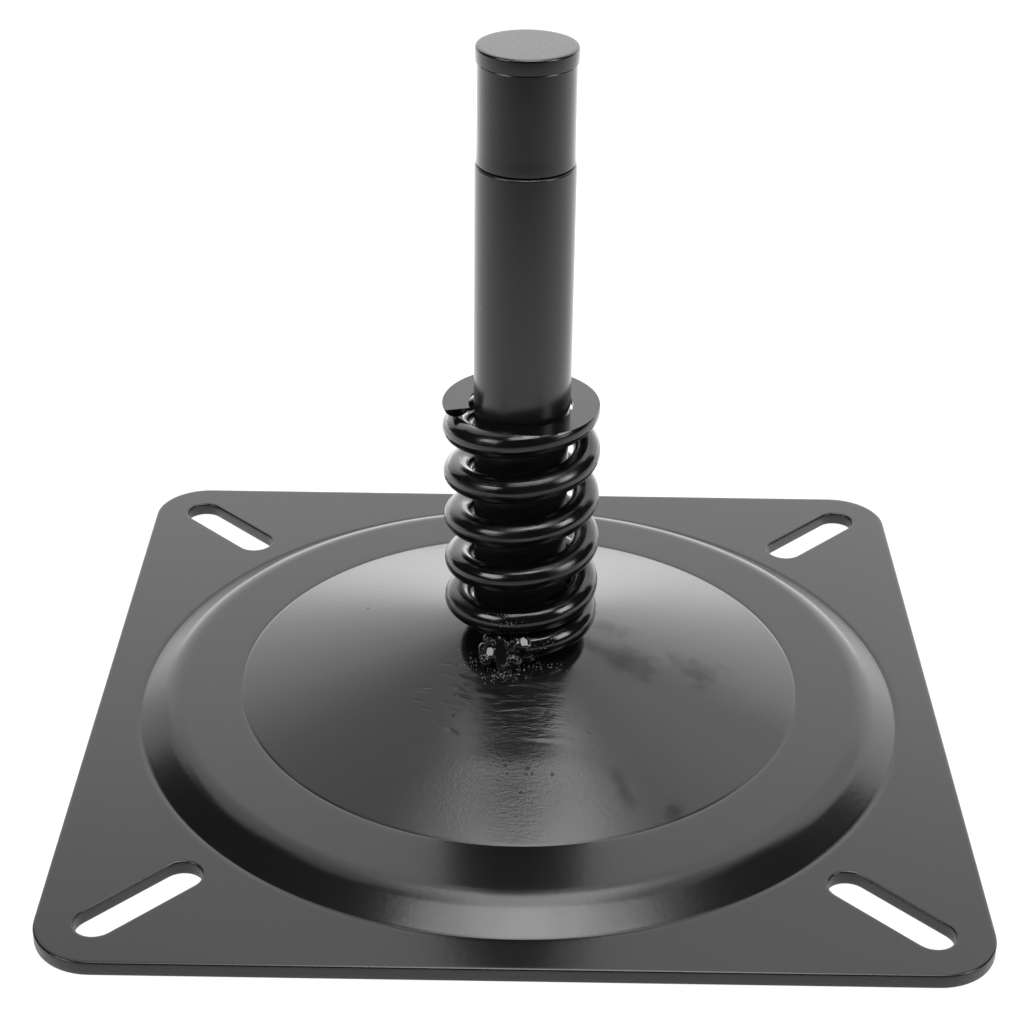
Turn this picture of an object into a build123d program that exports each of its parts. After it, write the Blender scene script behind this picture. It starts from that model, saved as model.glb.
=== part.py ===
from build123d import *
import os
from math import cos, hypot, radians, sin, sqrt, tan

# Pin-type swivel seat base: a square steel plate with a round pressing, a pin welded into the
# middle of the pressing, a compression spring round the pin's foot and a bush on its top end.
# Millimetres, +Z up along the pin, origin in the middle of the plate's underside.

# Plate
PLATE_SIDE = 178.0
PLATE_CORNER_R = 12.0
SHEET = 3.0
EDGE_R = 0.4

# Slots on the plate's diagonals, each as far in and out from both edges
SLOT_EDGE_DISTANCE = 11.5
SLOT_RUN = 14.0
SLOT_WIDTH = 8.1

# Round pressing: sloping flank, rounded shoulder, flat shelf, then a shallow cone up to the pin
RIM_WIDTH = 9.0
SHELF_WIDTH = 12.0
SHELF_RISE = 4.1
SHOULDER_BEND_R = 8.5
FLANK_SLOPE = 32.0
CONE_SLOPE = 16.0

# Pin, finished to size above the spring only
PIN_D = 19.4
PIN_SHANK_RELIEF = 0.2
PIN_HOLE_GAP = 0.1
PIN_BELOW_WELD = 1.0
PIN_ABOVE_SPRING = 50.5
PIN_SHOULDER_CHAMFER = 0.5
SPIGOT_D = 12.0
SPIGOT_TIP_CHAMFER = 1.0

# Weld bead under the pressing
WELD_LEG = 4.0
WELD_CROWN = 0.4

# Spring
WIRE_D = 5.6
SPRING_BORE_GAP = 0.6
SPRING_SEAT_GAP = 0.3
FOOT_ANGLE = -97.0
FOOT_TURNS = 1.0
FOOT_COIL_GAP = 0.15
ACTIVE_TURNS = 4.15
ACTIVE_PITCH = 10.2
END_TURNS = 0.66
END_COIL_GAP = 0.15
END_GRIND = 3.9
PATH_STEP_ANGLE = 45.0

# Tack weld that holds the spring's foot, its lobes at angles from the foot
TACK_ANGLES = (-11.0, 7.0, 20.0)
TACK_LOBE_RADII = (3.4, 2.9, 2.5)
TACK_OUT = 2.6
TACK_LIFT = 2.1

# End bush
BUSH_BODY_INSET = 0.33
BUSH_FLARE_INSET = 0.2
BUSH_FLARE_LENGTH = 3.5
BUSH_BODY_LENGTH = 19.6
BUSH_HEAD_INSET = 0.02
BUSH_HEAD_DRAFT = 0.09
BUSH_HEAD_HEIGHT = 3.0
BUSH_HEAD_EDGE = 0.5
BUSH_ROOF = 2.5
BUSH_RUNNING_GAP = 0.08
BUSH_END_GAP = 0.3
SNAP_BEAD_DEPTH = 0.45
SNAP_BEAD_WIDTH = 1.6
SNAP_HEIGHT = 9.0

press_r = PLATE_SIDE / 2 - RIM_WIDTH
flank = radians(FLANK_SLOPE)
flank_drop = SHELF_RISE - SHOULDER_BEND_R * (1 - cos(flank))
shelf_outer_r = press_r - flank_drop / tan(flank) - SHOULDER_BEND_R * sin(flank)
crease_r = shelf_outer_r - SHELF_WIDTH
pin_r = PIN_D / 2
shank_r = pin_r - PIN_SHANK_RELIEF
hole_r = shank_r + PIN_HOLE_GAP
wire_r = WIRE_D / 2
coil_mean_r = pin_r + SPRING_BORE_GAP + wire_r
foot_pitch = WIRE_D + FOOT_COIL_GAP
end_pitch = (WIRE_D + END_COIL_GAP - (1 - END_TURNS) * ACTIVE_PITCH) / END_TURNS
shelf_top = SHEET + SHELF_RISE
cone_angle = radians(CONE_SLOPE)


def cone_top(r):
    """Height of the cone's upper face at radius r."""
    return shelf_top + (crease_r - r) * tan(cone_angle)


def cone_under(r):
    """Height of the cone's lower face at radius r."""
    return cone_top(r) - SHEET / cos(cone_angle)


# Heights that follow from the sizes above
wire_start_z = cone_top(coil_mean_r) + (wire_r + SPRING_SEAT_GAP) / cos(cone_angle)
wire_end_z = wire_start_z + FOOT_TURNS * foot_pitch + ACTIVE_TURNS * ACTIVE_PITCH + END_TURNS * end_pitch
spring_top = wire_end_z + wire_r - END_GRIND
weld_foot_z = cone_under(shank_r) - WELD_LEG
pin_bottom = weld_foot_z - PIN_BELOW_WELD
pin_shoulder = spring_top + PIN_ABOVE_SPRING
bush_bottom = pin_shoulder + BUSH_END_GAP
head_bottom = bush_bottom + BUSH_BODY_LENGTH
bush_top = head_bottom + BUSH_HEAD_HEIGHT
bore_top = bush_top - BUSH_ROOF
spigot_top = bore_top - BUSH_END_GAP
snap_z = pin_shoulder + SNAP_HEIGHT
spigot_r = SPIGOT_D / 2
bore_r = spigot_r + BUSH_RUNNING_GAP
bead_r = bore_r - SNAP_BEAD_DEPTH


def turned(*points):
    """Solid turned about Z from a closed outline of (radius, height) points."""
    outline = Polyline(*points, close=True)
    return revolve(Plane.XZ * make_face(outline), Axis.Z, clean=False)


def pressing():
    """The drawn middle of the sheet, the same thickness all over."""
    under_bend_r = SHOULDER_BEND_R - SHEET
    under_crease_r = crease_r - SHEET * tan(cone_angle / 2)

    def on_bend(radius, angle):
        height = shelf_top - SHOULDER_BEND_R + radius * cos(angle)
        return (shelf_outer_r + radius * sin(angle), height)

    bend_end = on_bend(SHOULDER_BEND_R, flank)
    under_end = on_bend(under_bend_r, flank)
    under_foot = (under_end[0] + under_end[1] / tan(flank), 0)
    top = [(hole_r, cone_top(hole_r)), (crease_r, shelf_top), (shelf_outer_r, shelf_top)]
    under = [(shelf_outer_r, SHELF_RISE), (under_crease_r, SHELF_RISE), (hole_r, cone_under(hole_r))]
    outline = [
        Polyline(*top),
        ThreePointArc(top[-1], on_bend(SHOULDER_BEND_R, flank / 2), bend_end),
        Polyline(bend_end, (press_r, SHEET), (press_r, 0), under_foot, under_end),
        ThreePointArc(under_end, on_bend(under_bend_r, flank / 2), under[0]),
        Polyline(*under, top[0]),
    ]
    return revolve(Plane.XZ * make_face(outline), Axis.Z)


def slots():
    """Four slots that point at the plate's corners."""
    outer = (PLATE_SIDE / 2 - SLOT_EDGE_DISTANCE) * sqrt(2)
    inner = outer - SLOT_RUN * sqrt(2)
    length = outer - inner + SLOT_WIDTH
    one = extrude(SlotOverall(length, SLOT_WIDTH), SHEET)
    return [Rot(0, 0, 45 + 90 * k) * Pos((inner + outer) / 2, 0, 0) * one for k in range(4)]


def mounting_plate():
    blank = extrude(RectangleRounded(PLATE_SIDE, PLATE_SIDE, PLATE_CORNER_R), SHEET)
    rim_edges = blank.faces().filter_by(Axis.Z).edges()
    blank = fillet(rim_edges, EDGE_R)
    opening = extrude(Circle(press_r), SHEET)
    return blank - opening - slots() + pressing()


def pin_post():
    """Pin with a plain bearing length above the spring and a grooved spigot for the bush."""
    groove_r = bead_r - BUSH_RUNNING_GAP
    half_groove = SNAP_BEAD_WIDTH / 2 + BUSH_END_GAP
    return turned(
        (0, pin_bottom),
        (shank_r, pin_bottom),
        (shank_r, spring_top),
        (pin_r, spring_top),
        (pin_r, pin_shoulder - PIN_SHOULDER_CHAMFER),
        (pin_r - PIN_SHOULDER_CHAMFER, pin_shoulder),
        (spigot_r, pin_shoulder),
        (spigot_r, snap_z - half_groove),
        (groove_r, snap_z - half_groove),
        (groove_r, snap_z + half_groove),
        (spigot_r, snap_z + half_groove),
        (spigot_r, spigot_top - SPIGOT_TIP_CHAMFER),
        (spigot_r - SPIGOT_TIP_CHAMFER, spigot_top),
        (0, spigot_top),
    )


def pin_weld():
    """Slightly crowned fillet weld between the pin's stub and the cone's lower face."""
    toe = (shank_r + WELD_LEG, cone_under(shank_r + WELD_LEG))
    foot = (shank_r, weld_foot_z)
    width = hypot(toe[0] - foot[0], toe[1] - foot[1])
    out = ((toe[1] - foot[1]) / width, (foot[0] - toe[0]) / width)
    crown = ((toe[0] + foot[0]) / 2 + out[0] * WELD_CROWN, (toe[1] + foot[1]) / 2 + out[1] * WELD_CROWN)
    corner = (shank_r, cone_under(shank_r))
    outline = [ThreePointArc(toe, crown, foot), Polyline(foot, corner, toe)]
    return revolve(Plane.XZ * make_face(outline), Axis.Z)


def coil_height(turn):
    """Height of the wire's centre after a number of turns: close foot, open middle, close end."""
    z = wire_start_z
    for turns, pitch in ((FOOT_TURNS, foot_pitch), (ACTIVE_TURNS, ACTIVE_PITCH), (END_TURNS, end_pitch)):
        done = min(turn, turns)
        z += done * pitch
        turn -= done
    return z


def coil_path(turns):
    """Centre line of the wire from its foot, right-hand, over a number of turns."""
    steps = round(turns * 360 / PATH_STEP_ANGLE)
    points = []
    for k in range(steps + 1):
        turn = turns * k / steps
        a = radians(FOOT_ANGLE + 360 * turn)
        points.append((coil_mean_r * cos(a), coil_mean_r * sin(a), coil_height(turn)))
    return Spline(*points)


def wire_along(path, radius):
    section = Plane(origin=path @ 0, z_dir=path % 0) * Circle(radius)
    return sweep(section, path=path)


def coil_spring():
    """Spring with its last turn closed and ground flat across the wire."""
    wire = wire_along(coil_path(FOOT_TURNS + ACTIVE_TURNS + END_TURNS), wire_r)
    ground_off = Cylinder(coil_mean_r + WIRE_D, WIRE_D, align=(Align.CENTER, Align.CENTER, Align.MIN))
    return wire - Pos(0, 0, spring_top) * ground_off


def spring_tack_weld(plate):
    """Lumpy weld in front of the spring's foot, seated on the cone and clear of the wire."""
    centre_r = coil_mean_r + TACK_OUT
    lobes = []
    for angle, lobe_r in zip(TACK_ANGLES, TACK_LOBE_RADII):
        a = radians(FOOT_ANGLE + angle)
        z = cone_top(centre_r) + TACK_LIFT
        lobes.append(Pos(centre_r * cos(a), centre_r * sin(a), z) * Sphere(lobe_r))
    bead = lobes[0] + lobes[1:]
    path = coil_path(1 / 4)
    keep_r = wire_r + SPRING_SEAT_GAP
    keep_clear = wire_along(path, keep_r) + Pos(path @ 0) * Sphere(keep_r)
    bead = bead - plate - keep_clear
    return bead.solids().sort_by(SortBy.VOLUME)[-1]


def end_bush():
    """Closed bush that snaps over the spigot's groove and turns on it."""
    body_r = pin_r - BUSH_BODY_INSET
    head_r = pin_r - BUSH_HEAD_INSET
    half_bead = SNAP_BEAD_WIDTH / 2
    return turned(
        (bore_r, bush_bottom),
        (pin_r - BUSH_FLARE_INSET, bush_bottom),
        (body_r, bush_bottom + BUSH_FLARE_LENGTH),
        (body_r, head_bottom),
        (head_r - BUSH_HEAD_DRAFT, head_bottom),
        (head_r, bush_top - BUSH_HEAD_EDGE),
        (head_r - BUSH_HEAD_EDGE, bush_top),
        (0, bush_top),
        (0, bore_top),
        (bore_r, bore_top),
        (bore_r, snap_z + half_bead),
        (bead_r, snap_z + half_bead / 2),
        (bead_r, snap_z - half_bead / 2),
        (bore_r, snap_z - half_bead),
    )


plate = mounting_plate()
parts = {
    "mounting_plate": plate,
    "pin_post": pin_post(),
    "pin_weld": pin_weld(),
    "coil_spring": coil_spring(),
    "spring_tack_weld": spring_tack_weld(plate),
    "end_bush": end_bush(),
}

os.makedirs("parts", exist_ok=True)
for name, solid in parts.items():
    export_step(solid, f"parts/{name}.step")
    box = solid.bounding_box()
    print(f"{name}: {solid.volume:.0f} mm3, z {box.min.Z:.2f} to {box.max.Z:.2f}")
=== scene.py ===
# %% [markdown]
# # Swivel seat base
# This is the steel base that a caravan seat turns on. A square plate is pressed up in the middle,
# a pin stands in the pressing, a coil spring sits round the pin's foot, and a plastic bush turns
# on the pin's top end. The lesson dresses the plain CAD model: each piece gets a finer mesh and
# its own black finish, and then the scene gets the light and the camera of a studio shot.

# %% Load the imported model
import math
import random

import bmesh
import bpy
from mathutils import Matrix, Vector, geometry, noise


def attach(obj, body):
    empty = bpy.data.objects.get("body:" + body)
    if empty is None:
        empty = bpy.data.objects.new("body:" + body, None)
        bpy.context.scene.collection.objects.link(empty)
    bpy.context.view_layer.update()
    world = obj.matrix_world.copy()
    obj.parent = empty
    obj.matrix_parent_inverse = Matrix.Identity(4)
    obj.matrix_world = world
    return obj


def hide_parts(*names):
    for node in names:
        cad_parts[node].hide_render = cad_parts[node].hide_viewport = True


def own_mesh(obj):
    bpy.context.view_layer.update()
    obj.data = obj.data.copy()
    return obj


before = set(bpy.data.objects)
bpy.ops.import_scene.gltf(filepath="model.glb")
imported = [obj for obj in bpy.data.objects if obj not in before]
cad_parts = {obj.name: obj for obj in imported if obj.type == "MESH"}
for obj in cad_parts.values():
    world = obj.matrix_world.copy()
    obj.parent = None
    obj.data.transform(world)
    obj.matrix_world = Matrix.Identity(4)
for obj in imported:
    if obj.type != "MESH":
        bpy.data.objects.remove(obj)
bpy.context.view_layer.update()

print("nodes:", sorted(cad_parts))

# %% [markdown]
# ## Sizes
# Blender works in metres, but a maker of such parts thinks in millimetres. All sizes here are in
# millimetres, and one helper scales them when a mesh is made. The heights count from the floor,
# which is the underside of the plate.

# %% Sizes of the real object
MM = 0.001
PLATE_HALF = 89.0
CORNER_R = 12.0
SHEET = 3.0
PRESS_R = 80.0
SHELF_TOP = 7.1
CREASE_R = 59.0
CONE_SLOPE = math.tan(math.radians(16.0))
BEND_R = 8.5
FLANK = math.radians(32.0)
PIN_R = 9.7
SHANK_R = 9.5
SPIGOT_R = 6.0
HOLE_R = 9.6
PIN_FOOT = 13.2
SPRING_TOP = 72.75
PIN_SHOULDER = 123.249
SPIGOT_TOP = 143.3
WIRE_R = 2.8
COIL_R = 13.1
WIRE_START_Z = 23.49
FLANK_DROP = SHELF_TOP - SHEET - BEND_R * (1 - math.cos(FLANK))
SHELF_R = PRESS_R - FLANK_DROP / math.tan(FLANK) - BEND_R * math.sin(FLANK)
UP = Vector((0, 0, 1))
TURNED_STEPS = 160


def cone_top(r):
    """Height of the cone's upper face at radius r."""
    return SHELF_TOP + (CREASE_R - r) * CONE_SLOPE


def cone_under(r):
    """Height of the cone's lower face at radius r."""
    return cone_top(r) - SHEET / math.cos(math.atan(CONE_SLOPE))


print("cone meets the pin at", round(cone_top(HOLE_R), 2), "mm")

# %% [markdown]
# ## Helpers for meshes
# Most of these pieces were turned, pressed or bent, so their meshes come from rings of points:
# one ring is one height on a lathe, or one slice of a wire. The first helper adds a ring to the
# points, and the second joins rings with quads. `make_piece` turns lists of points and faces into
# an object: it makes the faces point outward, and keeps edges sharp only where the surface really
# breaks. `dress` says what the piece moves with and what it is made of.

# %% Helpers: rings, objects, pieces
def add_ring(points, places):
    """Add the places to the points. Returns their numbers."""
    start = len(points)
    points.extend(places)
    return list(range(start, len(points)))


def around(steps):
    """Angles of equal steps round a circle."""
    return [2 * math.pi * k / steps for k in range(steps)]


def join_rings(rings):
    """Quads between rings that have as many points each."""
    faces = []
    for low, high in zip(rings, rings[1:]):
        for k in range(len(low)):
            n = (k + 1) % len(low)
            faces.append((low[k], low[n], high[n], high[k]))
    return faces


def add_object(name, data):
    """Object in the scene that holds a mesh, a light or a camera."""
    thing = bpy.data.objects.new(name, data)
    bpy.context.scene.collection.objects.link(thing)
    return thing


def smooth_mesh(name, bm):
    """Mesh with smooth faces from a bmesh, which is used up."""
    mesh = bpy.data.meshes.new(name)
    bm.to_mesh(mesh)
    bm.free()
    mesh.shade_smooth()
    return mesh


def make_piece(name, points, faces, sharp_deg):
    """Object from millimetre points. Faces are smooth, and edges sharper than the angle stay sharp."""
    mesh = bpy.data.meshes.new(name)
    mesh.from_pydata([(x * MM, y * MM, z * MM) for x, y, z in points], [], faces)
    bm = bmesh.new()
    bm.from_mesh(mesh)
    bmesh.ops.recalc_face_normals(bm, faces=bm.faces)
    bm.to_mesh(mesh)
    bm.free()
    mesh.shade_smooth()
    mesh.set_sharp_from_angle(angle=math.radians(sharp_deg))
    print(name, "has", len(mesh.polygons), "faces")
    return add_object(name, mesh)


def dress(piece, body, slot, material, *nodes):
    """The piece rides on its body, stands for its CAD nodes, and wears its material."""
    piece.data.materials.clear()
    piece.data.materials.append(material)
    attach(piece, body)
    if nodes:
        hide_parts(*nodes)


# %% [markdown]
# ## Rounded corners for a turned outline
# No real edge is perfectly sharp, and a small rounding is what catches a thin line of light. This
# helper takes the corner points of an outline with a radius for each and puts a short arc there.

# %% Helper: round the corners of an outline
def rounded_outline(corners, steps=5):
    """Points (r, z) of an outline whose corners are (r, z, rounding)."""
    out = []
    for k, (r, z, size) in enumerate(corners):
        if size == 0 or k in (0, len(corners) - 1):
            out.append((r, z))
            continue
        here = Vector((r, z))
        before = (Vector(corners[k - 1][:2]) - here).normalized()
        after = (Vector(corners[k + 1][:2]) - here).normalized()
        half = before.angle(after) / 2
        reach = size / math.tan(half)
        centre = here + (before + after).normalized() * size / math.sin(half)
        first = here + before * reach - centre
        last = here + after * reach - centre
        for s in range(steps + 1):
            arm = first.slerp(last, s / steps).normalized() * size
            out.append((centre.x + arm.x, centre.y + arm.y))
    return out


def lathe(outline, steps):
    """Points and faces of a solid turned about Z. The outline starts and ends on the axis."""
    points = [(0, 0, outline[0][1]), (0, 0, outline[-1][1])]
    rings = []
    for r, z in outline[1:-1]:
        rings.append(add_ring(points, [(r * math.cos(a), r * math.sin(a), z) for a in around(steps)]))
    faces = join_rings(rings)
    for k in range(steps):
        n = (k + 1) % steps
        faces.append((0, rings[0][n], rings[0][k]))
        faces.append((1, rings[-1][k], rings[-1][n]))
    return points, faces


# %% [markdown]
# ## Effects that several finishes share
# Powder coat is a melted plastic skin. It is never quite flat: it has a fine ripple that makers
# call orange peel, and it holds a little dust. Both show on more than one piece, so each is built
# once as a node group with named inputs. The groups give out only heights and masks, and each
# material decides what to do with them.

# %% Helper: nodes in one line
def add_node(tree, kind, settings=None, **inputs):
    """New node with its settings and its unlinked inputs. An underscore stands for a space."""
    node = tree.nodes.new(kind)
    for key, value in (settings or {}).items():
        setattr(node, key, value)
    for key, value in inputs.items():
        node.inputs[key.replace("_", " ")].default_value = value
    return node


def feed(tree, value, socket):
    """Set a number on a socket, or link an output to it."""
    if isinstance(value, (int, float)):
        socket.default_value = value
    else:
        tree.links.new(value, socket)


def maths(tree, what, first, second=0.5, third=0.5):
    """Math node. Each value is a number or an output to link."""
    node = add_node(tree, "ShaderNodeMath", {"operation": what})
    for k, value in enumerate((first, second, third)):
        feed(tree, value, node.inputs[k])
    return node.outputs[0]


def fade(tree, value, start, end, low=0.0, high=1.0, kind="SMOOTHSTEP"):
    """Change from low to high while the value goes from start to end."""
    node = add_node(tree, "ShaderNodeMapRange", {"interpolation_type": kind})
    for key, number in (("From Min", start), ("From Max", end), ("To Min", low), ("To Max", high)):
        node.inputs[key].default_value = number
    tree.links.new(value, node.inputs["Value"])
    return node.outputs["Result"]


def millimetres(tree):
    """The object's own coordinates in millimetres."""
    place = tree.nodes.new("ShaderNodeTexCoord")
    scale = add_node(tree, "ShaderNodeVectorMath", {"operation": "SCALE"}, Scale=1000.0)
    tree.links.new(place.outputs["Object"], scale.inputs[0])
    return scale.outputs[0]


def noise_over(tree, place, **inputs):
    """Value of a noise texture laid over a place."""
    node = add_node(tree, "ShaderNodeTexNoise", **inputs)
    tree.links.new(place, node.inputs["Vector"])
    return node.outputs[0]


def drawn_out(tree, place, scale, turn=0.0, kind="POINT", shift=(0, 0, 0)):
    """The place scaled, turned and shifted, so that a texture over it gets long marks."""
    node = add_node(tree, "ShaderNodeMapping", {"vector_type": kind})
    node.inputs["Location"].default_value = shift
    node.inputs["Rotation"].default_value = (0, 0, math.radians(turn))
    node.inputs["Scale"].default_value = scale
    tree.links.new(place, node.inputs["Vector"])
    return node.outputs[0]


def new_group(name, inputs, outputs):
    """Empty node group with float sockets, and its input and output nodes."""
    group = bpy.data.node_groups.new(name, "ShaderNodeTree")
    for label, value in inputs:
        socket = group.interface.new_socket(label, in_out="INPUT", socket_type="NodeSocketFloat")
        socket.default_value = value
    for label in outputs:
        group.interface.new_socket(label, in_out="OUTPUT", socket_type="NodeSocketFloat")
    return group, group.nodes.new("NodeGroupInput"), group.nodes.new("NodeGroupOutput")


def use_group(tree, group, **inputs):
    """A node that holds the group, with its own values."""
    node = tree.nodes.new("ShaderNodeGroup")
    node.node_tree = group
    for key, value in inputs.items():
        node.inputs[key.replace("_", " ")].default_value = value
    return node


# %% Node group: orange peel of powder coat
peel, peel_in, peel_out = new_group("orange_peel", [("Peel Size", 1.0), ("Fine Share", 0.3)], ["Height"])
peel_place = millimetres(peel)
peel_pitch = maths(peel, "DIVIDE", 1.0, peel_in.outputs["Peel Size"])
peel_wide = add_node(peel, "ShaderNodeTexNoise", Detail=2.0, Roughness=0.5)
peel_fine = add_node(peel, "ShaderNodeTexNoise", Detail=3.0, Roughness=0.6)
peel.links.new(peel_place, peel_wide.inputs["Vector"])
peel.links.new(peel_place, peel_fine.inputs["Vector"])
peel.links.new(peel_pitch, peel_wide.inputs["Scale"])
peel.links.new(maths(peel, "MULTIPLY", peel_pitch, 3.1), peel_fine.inputs["Scale"])
peel_grain = maths(peel, "MULTIPLY", peel_fine.outputs[0], peel_in.outputs["Fine Share"])
peel.links.new(maths(peel, "ADD", peel_wide.outputs[0], peel_grain), peel_out.inputs["Height"])
print("group:", peel.name)

# %% Node group: specks of dust
specks, specks_in, specks_out = new_group(
    "dust_specks", [("Speck Distance", 9.0), ("Speck Size", 0.02), ("How Many", 0.3)], ["Mask"]
)
specks_cell = add_node(specks, "ShaderNodeTexVoronoi", {"feature": "F1"})
specks.links.new(millimetres(specks), specks_cell.inputs["Vector"])
specks_pitch = maths(specks, "DIVIDE", 1.0, specks_in.outputs["Speck Distance"])
specks.links.new(specks_pitch, specks_cell.inputs["Scale"])
specks_near = maths(specks, "LESS_THAN", specks_cell.outputs["Distance"], specks_in.outputs["Speck Size"])
specks_luck = specks.nodes.new("ShaderNodeSeparateColor")
specks.links.new(specks_cell.outputs["Color"], specks_luck.inputs[0])
specks_few = maths(specks, "LESS_THAN", specks_luck.outputs[0], specks_in.outputs["How Many"])
specks.links.new(maths(specks, "MULTIPLY", specks_near, specks_few), specks_out.inputs["Mask"])
print("group:", specks.name)

# %% [markdown]
# ## A base for every black finish
# All the metal here wears black powder coat, but each piece took it differently: a soft satin on
# the plate and the pin, and nearly wet on the spring and the welds. One function lays out what they
# share: the dark colour, the dust, and the orange peel that feeds the bump. It hands back the
# nodes, so that each material can add its own marks. The bush starts from it too, much smoother.

# %% Functions: black coat
def new_material(name):
    """Material with its tree and its shader."""
    material = bpy.data.materials.new(name)
    material.use_nodes = True
    return material, material.node_tree, material.node_tree.nodes["Principled BSDF"]


def add_bump(tree, shader, below, height, depth):
    """A bump in millimetres, laid over the one below if there is one."""
    bump = add_node(tree, "ShaderNodeBump", Strength=1.0, Distance=depth * MM)
    tree.links.new(height, bump.inputs["Height"])
    if below:
        tree.links.new(below.outputs["Normal"], bump.inputs["Normal"])
    tree.links.new(bump.outputs["Normal"], shader.inputs["Normal"])
    return bump


def black_coat(name, rough, peel_size, peel_depth, colour=0.004, fine=0.3, many=0.25):
    """Material with the shared coat. Returns it with its tree, shader and bump."""
    material, tree, shader = new_material(name)
    shader.inputs["Roughness"].default_value = rough
    shader.inputs["IOR"].default_value = 1.5
    dust = use_group(tree, specks, How_Many=many)
    tint = add_node(tree, "ShaderNodeMix", {"data_type": "RGBA"})
    tint.inputs["A"].default_value = (colour, colour, colour * 1.03, 1)
    tint.inputs["B"].default_value = (0.12, 0.12, 0.115, 1)
    tree.links.new(dust.outputs["Mask"], tint.inputs["Factor"])
    tree.links.new(tint.outputs["Result"], shader.inputs["Base Color"])
    skin = use_group(tree, peel, Peel_Size=peel_size, Fine_Share=fine)
    bump = add_bump(tree, shader, None, skin.outputs["Height"], peel_depth)
    return material, tree, shader, bump


# %% [markdown]
# ## Finish of the plate
# Heat from welding left a patch of fine ripples in the coat in front of the spring and let it flow
# out glossy close round the spring. Hands left dull and greasy smudges. The sheared walls of the
# plate and its slots are rougher than the rolled sheet. A mask says where each mark is: ellipses
# for the ripples, ellipses broken up by noise for the smudges, and the direction of the surface for
# the sheared walls. Grease takes shine off a coat. A little Metallic over a nearly black colour does
# the same, because a metal shines only as brightly as its colour.

# %% Material: plate
PLATE_ROUGH = 0.21
# x, y, half width, half depth, turn
SMUDGES = (
    (23, -8, 12, 8, 0), (20, 2, 7, 5, 0), (38, -6, 10, 9, 0),
    (20.8, -43.5, 3.2, 7.5, 20), (31, -47, 3.5, 4, 0),
)
plate_coat, tree, shader, bump = black_coat("plate_coat", PLATE_ROUGH, 1.1, 0.014, many=0.12)
place = millimetres(tree)


def ellipse(tree, place, x, y, wide, deep, turn=0.0):
    """Distance from the middle of an ellipse on the plate, 1 at its edge."""
    inside = drawn_out(tree, place, (wide, deep, 1000), turn, "TEXTURE", (x, y, 0))
    length = add_node(tree, "ShaderNodeVectorMath", {"operation": "LENGTH"})
    tree.links.new(inside, length.inputs[0])
    return length.outputs["Value"]


drawn_wide = drawn_out(tree, place, (0.26, 1, 0), turn=5)
waves = noise_over(tree, drawn_wide, Scale=1.25, Detail=2.5, Roughness=0.55, Distortion=0.5)
near_weld = maths(
    tree, "MAXIMUM",
    fade(tree, ellipse(tree, place, 2.0, -25.5, 11, 11.5), 1.0, 0.45),
    fade(tree, ellipse(tree, place, 0.5, -48, 9, 16), 1.0, 0.3, 0.0, 0.38),
)
ripple = maths(tree, "MULTIPLY", waves, near_weld)
bump = add_bump(tree, shader, bump, ripple, 0.10)

grit = noise_over(tree, place, Scale=2.0, Detail=2.0, Roughness=0.6)
gritty = fade(tree, ellipse(tree, place, -1, -45, 20, 17), 1.0, 0.4)
bump = add_bump(tree, shader, bump, maths(tree, "MULTIPLY", grit, gritty), 0.05)

slanted = drawn_out(tree, place, (5, 1, 100), turn=-28, kind="TEXTURE")
strokes = noise_over(tree, slanted, Scale=0.8, Detail=2.0, Roughness=0.5)
few_strokes = fade(tree, strokes, 0.54, 0.74, 0.0, -1.0)
left_side = fade(tree, ellipse(tree, place, -15, -20, 8, 11), 1.0, 0.5)
bump = add_bump(tree, shader, bump, maths(tree, "MULTIPLY", few_strokes, left_side), 0.07)

blotch = noise_over(tree, place, Scale=0.045, Detail=3.0, Roughness=0.5)
handled = fade(tree, blotch, 0.58, 0.85, 0.0, 0.5)
cloud = noise_over(tree, place, Scale=0.25, Detail=3.0, Roughness=0.55)
far = ellipse(tree, place, *SMUDGES[0])
for smudge in SMUDGES[1:]:
    far = maths(tree, "MINIMUM", far, ellipse(tree, place, *smudge))
broken = maths(tree, "SUBTRACT", maths(tree, "MULTIPLY", cloud, 1.6), far)
greasy = fade(tree, broken, -0.1, 0.85, 0.0, 0.45)
tree.links.new(greasy, shader.inputs["Metallic"])
hot_ring = fade(tree, ellipse(tree, place, 0.4, 0, 19.5, 19.5), 1.0, 0.86)

facing = tree.nodes.new("ShaderNodeNewGeometry")
upright = tree.nodes.new("ShaderNodeSeparateXYZ")
tree.links.new(facing.outputs["True Normal"], upright.inputs[0])
sheared = fade(tree, maths(tree, "ABSOLUTE", upright.outputs["Z"]), 0.5, 0.2)
tear = noise_over(tree, place, Scale=1.6, Detail=4.0, Roughness=0.65)
torn = maths(tree, "MULTIPLY", tear, sheared)
add_bump(tree, shader, bump, torn, 0.12)
dull = maths(tree, "MULTIPLY_ADD", handled, 0.13, PLATE_ROUGH)
dull = maths(tree, "MULTIPLY_ADD", hot_ring, -0.10, dull)
tree.links.new(maths(tree, "MULTIPLY_ADD", sheared, 0.12, dull), shader.inputs["Roughness"])
print("material:", plate_coat.name)

# %% [markdown]
# ## Finish of the pin
# The pin was turned on a lathe, so very fine rings run round it under the coat. A wave texture
# whose bands follow height draws them, faint enough to show only where light slides along.

# %% Material: pin
pin_coat, tree, shader, bump = black_coat("pin_coat", 0.25, 1.4, 0.006, colour=0.010)
rings = add_node(
    tree, "ShaderNodeTexWave", {"bands_direction": "Z"},
    Scale=0.9, Distortion=0.6, Detail=2.0, Detail_Scale=0.4,
)
tree.links.new(millimetres(tree), rings.inputs["Vector"])
add_bump(tree, shader, bump, rings.outputs["Fac"], 0.0012)
print("material:", pin_coat.name)

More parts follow.
